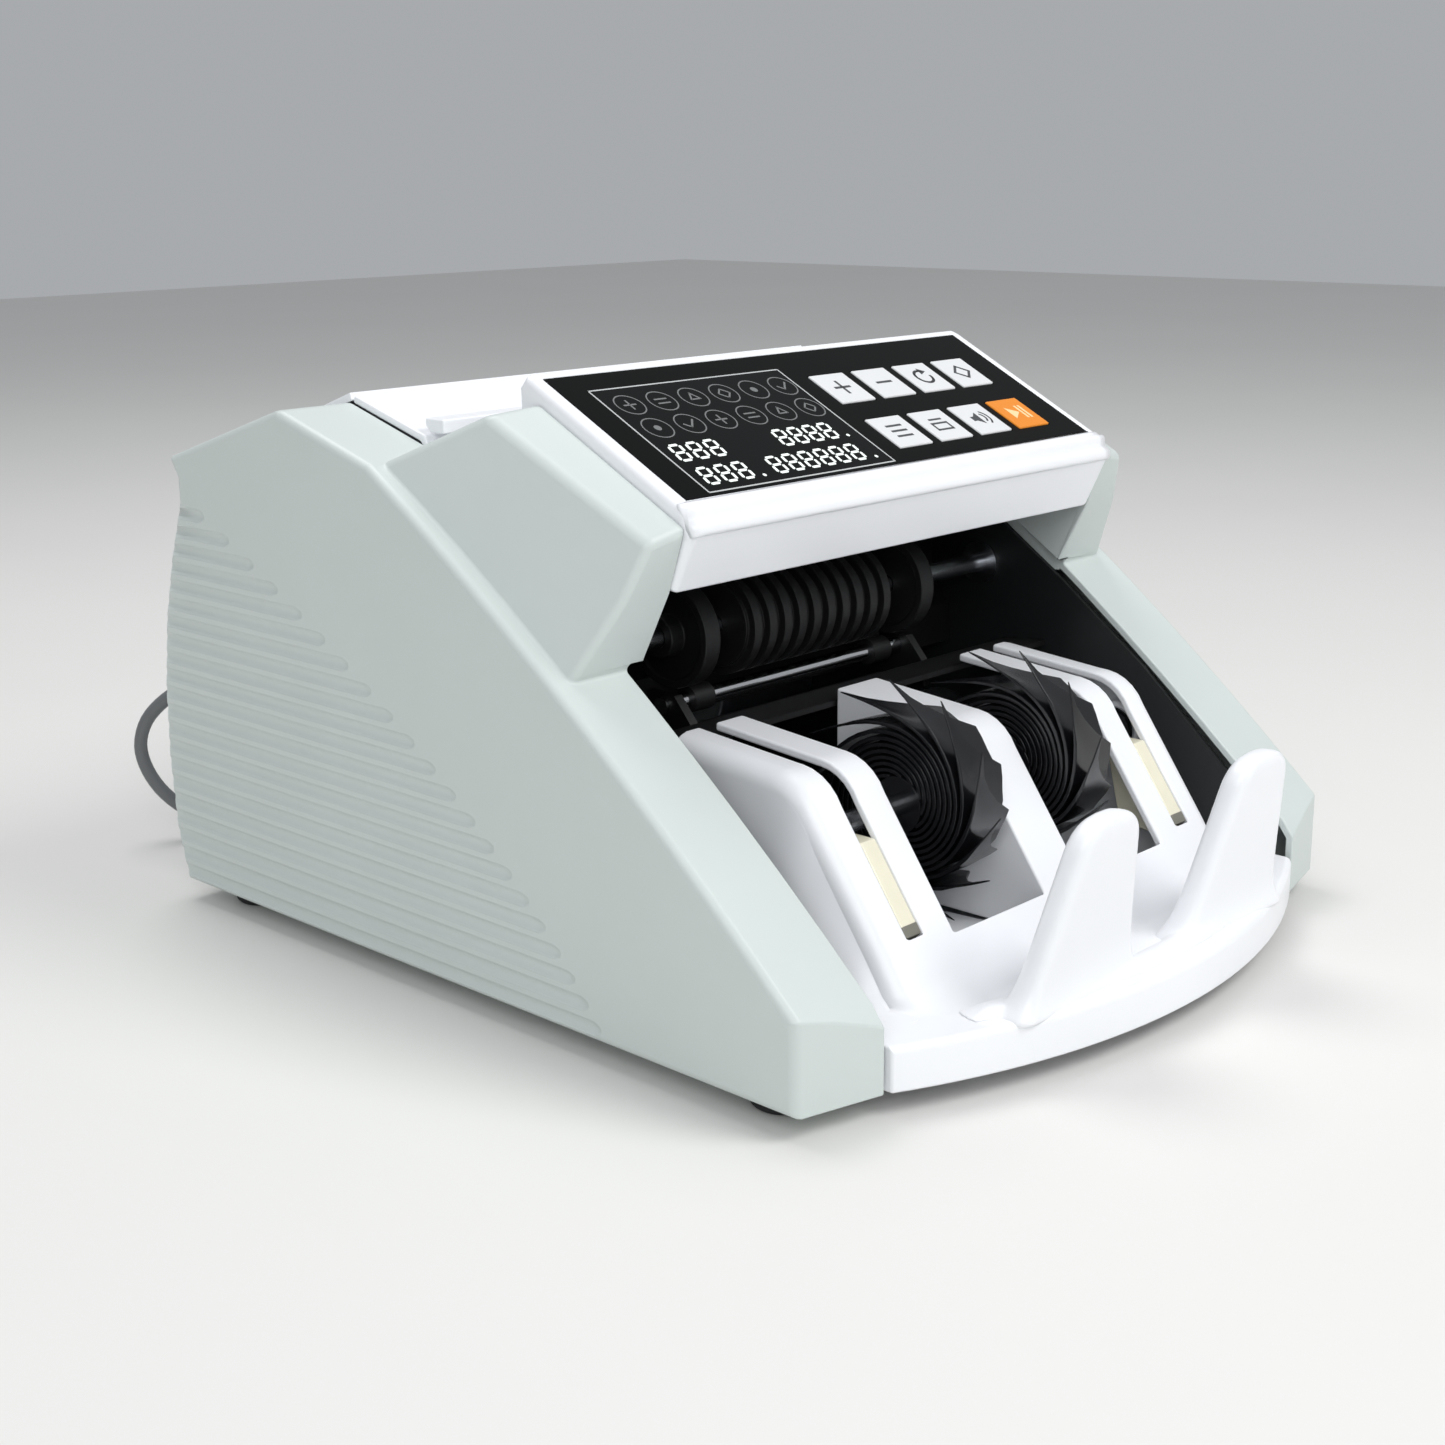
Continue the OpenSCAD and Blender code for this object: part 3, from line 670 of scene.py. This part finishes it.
def rounded_ring(bm, half_x, half_y, corner, place, count=8):
    """A rounded rectangle of vertices, put in space by place(x, y)."""
    corner = min(corner, half_x - 0.01, half_y - 0.01)
    ring_of = []
    for sx, sy, start in ((1, 1, 0), (-1, 1, 90), (-1, -1, 180), (1, -1, 270)):
        for k in range(count + 1):
            a = math.radians(start + 90 * k / count)
            x = sx * (half_x - corner) + corner * math.cos(a)
            y = sy * (half_y - corner) + corner * math.sin(a)
            ring_of.append(bm.verts.new(place(x, y)))
    return ring_of


def loft(bm, rings):
    for a, b in zip(rings, rings[1:]):
        for k in range(len(a)):
            bm.faces.new((a[k - 1], a[k], b[k], b[k - 1]))
    bm.faces.new(rings[0][::-1])
    bm.faces.new(rings[-1])


def post(bm, side):
    """One leaning post: a wedge with a round top whose foot flares out to the tray."""
    rings = []
    for k in range(41):
        h = -1.5 + (POST_TOP + 1.5) * k / 40
        near_top = max(0, h - (POST_TOP - 8)) / 8
        half_x = POST_HALF - 9.5 * max(h, 0) / 40
        half_x -= 8 * (1 - math.sqrt(max(0, 1 - near_top**2)))
        flare = math.exp(-max(h, 0) / 4)
        half_y = 3.7 + 2.2 * flare - 1.4 * (1 - math.sqrt(max(0, 1 - near_top**4)))
        half_x += 3.5 * flare

        def place(x, y, h=h):
            return (
                side * POST_AT[0] + x,
                POST_AT[1] + y - h * math.sin(POST_LEAN),
                TRAY_Z + h * math.cos(POST_LEAN),
            )

        rings.append(rounded_ring(bm, half_x, half_y, 3.4 + flare, place))
    loft(bm, rings)


def low_ridge(bm):
    """The low rounded step that joins the posts and follows the tray's curved lip."""
    rings = []
    for k in range(61):
        a = math.radians(-90 + 20.5 * (k - 30) / 30)
        end = min(1, (30 - abs(k - 30)) / 3)
        ring_of = []
        for r, z in ((-15, -1), (-14, 0), (-12.6, 1.4), (-10.6, 2.4), (-8.6, 2.8), (-6.6, 2.6),
                     (-5.4, 1.6), (-4.8, 0), (-4.8, -1)):  # fmt: skip
            reach = LIP_R + r
            ring_of.append(
                bm.verts.new(
                    (reach * math.cos(a), LIP_C + reach * math.sin(a), TRAY_Z + z * end)
                )
            )
        rings.append(ring_of)
    loft(bm, rings)


def make_posts():
    bm = bmesh.new()
    post(bm, -1)
    post(bm, 1)
    low_ridge(bm)
    bmesh.ops.recalc_face_normals(bm, faces=bm.faces)
    o = piece("note_posts", bm, white, "chassis", ["stacker_posts"])
    merge = o.modifiers.new("merge", "REMESH")
    merge.mode, merge.voxel_size, merge.use_smooth_shade = "VOXEL", 0.7 * MM, True
    ease = o.modifiers.new("ease", "SMOOTH")
    ease.factor, ease.iterations = 0.5, 8


def make_bezel_steps():
    """The stepped front edge of the control panel: flat strip, ridge, groove and lip."""
    steps = [
        (-49.7, 140.4), (-49.7, 141.25), (-50.6, 140.95), (-51.4, 140.3), (-51.9, 140.35),
        (-52.6, 140.5), (-53.2, 140.2), (-53.5, 139.6), (-53.6, 138.6), (-53.7, 137.6),
        (-54.1, 137), (-54.8, 136.7), (-55.4, 136.1), (-55.7, 135.2), (-55.7, 134.2),
        (-55.4, 133.4), (-54.9, 133), (-54.2, 133.2), (-52, 136),
    ]  # fmt: skip
    bm = bmesh.new()
    rings = []
    for k in range(49):
        x = -91.7 + 183.4 * k / 48
        shrink = max(0, abs(x) - 89) * 0.25
        rings.append([bm.verts.new((x, y + shrink * 0.6, z - shrink * 0.4)) for y, z in steps])
    loft(bm, rings)
    bmesh.ops.recalc_face_normals(bm, faces=bm.faces)
    for f in bm.faces:
        f.smooth = True
    piece("bezel_steps", bm, white, "chassis")


def make_guide_ends():
    """The cut end of each light guide, a duller block at its lower corner."""
    bm = bmesh.new()
    for s in (-1, 1):
        rings = [
            [
                bm.verts.new((s * 63 + dx, y, z))
                for dx, (y, z) in (
                    (-3, p), (3, p), (3, q), (-3, q),
                )
            ]
            for p, q in (
                ((-103.6, 32.7), (-99, 27.8)),
                ((-101.8, 35.4), (-97.6, 30.4)),
            )
        ]  # fmt: skip
        loft(bm, rings)
    bmesh.ops.recalc_face_normals(bm, faces=bm.faces)
    o = piece("light_guide_ends", bm, acrylic_end, "chassis")
    soften(o, 0.4, 2, weld=False)


FLOOR_T = 2.2


def make_well_floors():
    """The tray floor that runs on below each wheel, beside the narrow slot for its finger tips."""
    bm = bmesh.new()
    for x0, x1 in ((-34, -8.7), (24, 49.3)):
        rings = []
        for y, z in ((-105.7, 18), (-98, 17.9), (-88, 17.6), (-76, 17), (-62, 16.2)):
            rings.append(
                [
                    bm.verts.new(p)
                    for p in ((x0, y, z), (x1, y, z), (x1, y, z - FLOOR_T), (x0, y, z - FLOOR_T))
                ]
            )
        loft(bm, rings)
    bmesh.ops.recalc_face_normals(bm, faces=bm.faces)
    soften(piece("tray_well_floors", bm, white, "chassis"), 0.4, 2, weld=False)


HUMP_TOP = [(-117, 18), (-110, 23.4), (-104.5, 32), (-82.4, 63.2), (-79.2, 67.6), (-74.8, 70.8),
            (-68, 72.2), (-31, 75.2)]  # fmt: skip


# How far below its top the hump's rounded edge is as steep as the flank that carries it on.
HUMP_ROUND = 5.4
FLANK_FRONT, FLANK_DEPTH, FLANK_RINGS = -116.6, 85.2, 30
FLANK_REACH, FLANK_STEPS = 17, 14


def hump_height(y):
    """Height of the hump's top line at y."""
    y = max(y, HUMP_TOP[0][0])
    for (y0, z0), (y1, z1) in zip(HUMP_TOP, HUMP_TOP[1:]):
        if y <= y1:
            return z0 + (z1 - z0) * (y - y0) / (y1 - y0)
    return HUMP_TOP[-1][1]


def make_hump_flanks():
    """The hump's sides, which fall in a hollow curve to the tray's edge."""
    bm = bmesh.new()
    for side in (-1, 1):
        rings = []
        for k in range(FLANK_RINGS + 1):
            y = FLANK_FRONT + FLANK_DEPTH * k / FLANK_RINGS
            slope = (hump_height(y + 4) - hump_height(y - 4)) / 8
            high = max(0.2, hump_height(y) - TRAY_Z - HUMP_ROUND * math.hypot(1, slope))
            reach = FLANK_REACH * min(1, 0.25 + high / 40)
            curve = [
                (HUMP_HALF - 0.15 + reach * t, TRAY_Z + high * (1 - t) ** 1.7)
                for t in (u / FLANK_STEPS for u in range(FLANK_STEPS + 1))
            ]
            curve += [(HUMP_HALF - 0.3 + reach, TRAY_Z - 0.6), (HUMP_HALF - 0.3, TRAY_Z - 0.6)]
            rings.append([bm.verts.new((side * x, y, z)) for x, z in curve])
        loft(bm, rings)
    bmesh.ops.recalc_face_normals(bm, faces=bm.faces)
    o = piece("hump_flanks", bm, white, "chassis")
    for f in o.data.polygons:
        f.use_smooth = True
    o.data.set_sharp_from_angle(angle=math.radians(40))


make_posts()
make_hump_flanks()
make_well_floors()
make_bezel_steps()
make_guide_ends()


# ------------------------------------------------------------- panel print

PANEL = Matrix.Translation(PANEL_FOOT) @ Matrix.Rotation(PANEL_TILT, 4, "X")


def stroke(a, b, width):
    """A straight line of ink from a to b, as one outline."""
    a, b = Vector(a), Vector(b)
    along = (b - a).normalized() * width / 2
    side = Vector((-along.y, along.x))
    return [a - along - side, b + along - side, b + along + side, a - along + side]


def path(points, width, closed=False):
    """A line of ink through points."""
    ends = points[1:] + (points[:1] if closed else [])
    return [stroke(a, b, width) for a, b in zip(points, ends)]


def round_points(centre, r, count, start=0, turn=360):
    return [
        Vector(centre)
        + r
        * Vector(
            (
                math.cos(math.radians(start + turn * k / count)),
                math.sin(math.radians(start + turn * k / count)),
            )
        )
        for k in range(count + (turn < 360))
    ]


def ring(centre, r, width, count=28):
    inside = round_points(centre, r - width / 2, count)
    outside = round_points(centre, r + width / 2, count)
    return [
        [inside[k - 1], outside[k - 1], outside[k], inside[k]] for k in range(count)
    ]


def disc(centre, r, count=20):
    return [round_points(centre, r, count)]


def box(x0, y0, x1, y1):
    return [[Vector((x0, y0)), Vector((x1, y0)), Vector((x1, y1)), Vector((x0, y1))]]


def digit(x, y, height, lean=0.12):
    """The seven lit segments of an 8."""
    w, t = height * 0.56, height * 0.14
    h = height / 2
    gap = t * 0.3
    bars = [((gap, k * h), (w - gap, k * h)) for k in range(3)]
    bars += [
        ((sx, k * h + gap), (sx, (k + 1) * h - gap)) for sx in (0, w) for k in range(2)
    ]
    outlines = []
    for a, b in bars:
        a, b = Vector(a), Vector(b)
        along = (b - a).normalized() * t / 2
        side = Vector((-along.y, along.x))
        shape = [a, a + along * 0.8 - side, b - along * 0.8 - side, b, b - along * 0.8 + side]
        shape.append(a + along * 0.8 + side)
        outlines.append([Vector((x + p.x + lean * p.y, y + p.y)) for p in shape])
    return outlines


def printed(name, outlines, finish, body, height, thick=0.06):
    """Ink on the control panel: flat outlines in the panel's own axes, thick enough to cast no
    gap."""
    bm = bmesh.new()
    for shape in outlines:
        low = [bm.verts.new(PANEL @ Vector((p.x, p.y, height))) for p in shape]
        high = [bm.verts.new(PANEL @ Vector((p.x, p.y, height + thick))) for p in shape]
        bm.faces.new(high)
        bm.faces.new(low[::-1])
        for k in range(len(shape)):
            bm.faces.new((low[k - 1], low[k], high[k], high[k - 1]))
    bmesh.ops.recalc_face_normals(bm, faces=bm.faces)
    return piece(name, bm, finish, body)


WINDOW = (-78.3, 1.9, -4, 51.4)
ICON_X0, ICON_PITCH, ICON_ROWS, ICON_R = -70.3, 12.1, (43.1, 31.5), 4.6


def icon(kind, c):
    """One of six generic marks, round c."""
    x, y = c
    marks = {
        0: path([Vector((x - 2, y)), Vector((x + 2, y))], 0.6)
        + path([Vector((x, y - 2)), Vector((x, y + 2))], 0.6),
        1: path([Vector((x - 2, y + 1)), Vector((x + 2, y + 1))], 0.6)
        + path([Vector((x - 2, y - 1)), Vector((x + 2, y - 1))], 0.6),
        2: path(round_points(c, 2, 3, 90), 0.55, True),
        3: path(round_points(c, 2.2, 4, 0), 0.55, True),
        4: disc(c, 1.2),
        5: path([Vector((x + a, y + b)) for a, b in ((-2.2, 0), (-0.6, -1.6), (2.2, 1.6))], 0.6),
    }
    return marks[kind]


def make_print():
    printed("display_pane", box(*WINDOW), window, "chassis", 0.0)
    x0, y0, x1, y1 = WINDOW
    corners = [Vector(p) for p in ((x0, y0), (x1, y0), (x1, y1), (x0, y1))]
    printed("window_border", path(corners, 0.5, True), frame_ink, "chassis", 0.02)
    marks = []
    for r, y in enumerate(ICON_ROWS):
        for k in range(6):
            c = (ICON_X0 + ICON_PITCH * k, y)
            marks += ring(c, ICON_R, 0.4) + icon((k + 4 * r) % 6, c)
    printed("indicator_icons", marks, icon_ink, "chassis", 0.07)
    lit = []
    for x, y, count, pitch in (
        (-75, 16.2, 3, 6.4),
        (-35.3, 16.2, 4, 6.2),
        (-75, 5.1, 3, 6.5),
        (-48.7, 5.1, 6, 6.4),
    ):
        for k in range(count):
            lit += digit(x + pitch * k, y, 7)
    for c in ((-9, 16.4), (-54.4, 5.2), (-8.6, 5.2)):
        lit += disc(c, 0.6, 12)
    printed("display_digits", lit, digit_ink, "chassis", 0.07)


def legend(name, c):
    """The generic symbol on a key."""
    x, y = c
    v = lambda dx, dy: Vector((x + dx, y + dy))
    return {
        "key_add": path([v(-3, 0), v(3, 0)], 1) + path([v(0, -3), v(0, 3)], 1),
        "key_verify": path([v(-3, 0), v(3, 0)], 1),
        "key_mode": path(round_points(c, 3.2, 20, 60, 300), 0.9)
        + [[v(0.4, 1.2), v(3.4, 2.6), v(0.8, 4.6)]],
        "key_value": path([v(-3.4, 0), v(0, -3.2), v(3.4, 0), v(0, 3.2)], 0.9, True),
        "key_sum": path([v(-3, 2.6), v(3, 2.6)], 0.9)
        + path([v(-3, 0), v(3, 0)], 0.9)
        + path([v(-3, -2.6), v(3, -2.6)], 0.9),
        "key_batch": path([v(-3.4, -2.6), v(3.4, -2.6), v(3.4, 0.6), v(-3.4, 0.6)], 0.8, True)
        + path([v(-2.4, 2.6), v(2.6, 2.6)], 0.8),
        "key_sound": [[v(-3.6, -1.1), v(-2, -1.1), v(0.2, -3), v(0.2, 3), v(-2, 1.1), v(-3.6, 1.1)]]
        + path(round_points(v(0.4, 0), 2.2, 8, -50, 100), 0.6)
        + path(round_points(v(0.4, 0), 3.8, 10, -50, 100), 0.6),
        "key_start": [[v(-3.6, -3), v(0.8, 0), v(-3.6, 3)]]
        + path([v(2, -2.8), v(2, 2.8)], 1)
        + path([v(3.8, -2.8), v(3.8, 2.8)], 1),
    }[name]


def make_legends():
    for y, row in KEY_ROWS.items():
        for k, name in enumerate(row):
            printed(
                f"{name}_symbol",
                legend(name, (KEY_X0 + KEY_PITCH * k, y)),
                legend_pale if name == "key_start" else legend_dark,
                f"{name}_pad",
                KEY_TOP - 0.01,
            )


make_print()
make_legends()


# ---------------------------------------------------------- stacking wheels

FINGERS, FINGER_TURN, HUB_R, WHEEL_R, WHEEL_W = 12, 285, 8, 35, 18
FINGER_STEPS = 30
# How far the tips stand off beyond the spiral, and how late along a finger that starts.
TIP_KICK, TIP_LATE = 10, 14
WHEEL_X = 25
# How much shorter a finger is at the wheel's right side, and the shares of the width that are
# given points of their own on the way there.
TIP_SKEW = 0.13
TIP_SHARES = (0, 0.12, 0.3, 0.6, 1)
FINGER_T = 1.2


def finger_point(t, at, turn):
    """A point at share t of a finger's length, at from 0 to 1 across its thickness."""
    r = HUB_R - 0.6 + (WHEEL_R - TIP_KICK - HUB_R) * t + TIP_KICK * t**TIP_LATE + at * FINGER_T
    a = math.radians(turn - FINGER_TURN * t)
    return WHEEL_Y + r * math.cos(a), WHEEL_Z + r * math.sin(a)


def make_wheel(name, x, phase):
    """A rubber hub with thin spiral fingers; each ends in a point on the wheel's left side."""
    bm = bmesh.new()
    left = x - WHEEL_W / 2
    axes = Matrix.Translation((left, WHEEL_Y, WHEEL_Z))
    lathe(bm, [(0, 3), (0, HUB_R), (WHEEL_W, HUB_R), (WHEEL_W, 3)], axes, 48)
    across = [(share, 0) for share in TIP_SHARES] + [(share, 1) for share in TIP_SHARES[::-1]]
    for f in range(FINGERS):
        turn = phase + 360 * f / FINGERS
        rings = []
        for k in range(FINGER_STEPS + 1):
            s = k / FINGER_STEPS
            thin = 1 if k < FINGER_STEPS - 2 else 0.55
            rings.append(
                [
                    bm.verts.new(
                        (
                            left + WHEEL_W * share,
                            *finger_point(s * (1 - TIP_SKEW * share**0.6), at * thin, turn),
                        )
                    )
                    for share, at in across
                ]
            )
        for a, b in zip(rings, rings[1:]):
            for k in range(len(across)):
                bm.faces.new((a[k - 1], a[k], b[k], b[k - 1]))
        n = len(TIP_SHARES)
        for end in (rings[0], rings[-1]):
            for k in range(n - 1):
                bm.faces.new((end[k], end[k + 1], end[-2 - k], end[-1 - k]))
    bmesh.ops.recalc_face_normals(bm, faces=bm.faces)
    o = piece(f"{name}_rubber", bm, wheel_rubber, "stacking_wheels", [name])
    soften(o, 0.2, 2, 40, weld=False)


make_wheel("left_stacking_wheel", -WHEEL_X, 9)
make_wheel("right_stacking_wheel", WHEEL_X, 20)
